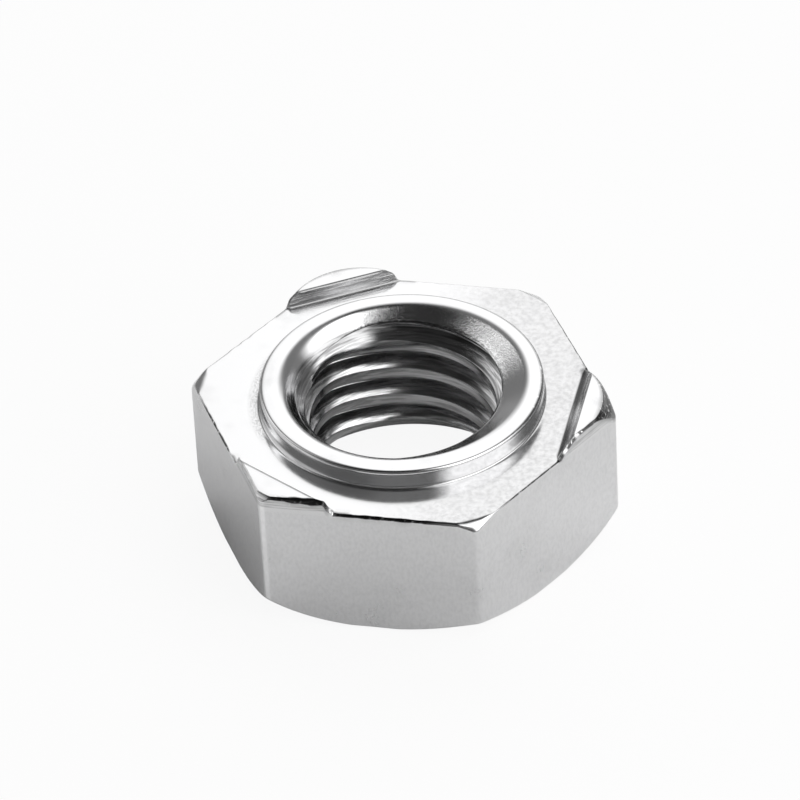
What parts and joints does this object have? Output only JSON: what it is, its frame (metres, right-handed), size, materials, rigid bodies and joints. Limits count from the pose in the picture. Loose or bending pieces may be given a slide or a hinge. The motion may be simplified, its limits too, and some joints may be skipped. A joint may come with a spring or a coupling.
{
  "type": "hex weld nut",
  "caption": "Hexagonal steel weld nut with a threaded bore, a round pilot collar and weld projections on alternate corners, welded to sheet metal to give it a strong thread.",
  "frame": {"origin": "centre of the plain bearing face, on the thread's axis; the nut rests on this face", "axes": "+Z along the thread's axis, from the bearing face towards the pilot collar; two opposite corners of the hexagon lie on the X axis and two flats face +Y and -Y"},
  "size_m": [0.0158, 0.0138, 0.0061],
  "materials": {
    "plated_steel": "bright cold-formed steel, smooth and lightly polished, with fine peening marks on the weld-side face and a cut thread"
  },
  "bodies": {
    "root": {"weld_nut": "plated_steel"}
  },
  "joints": []
}
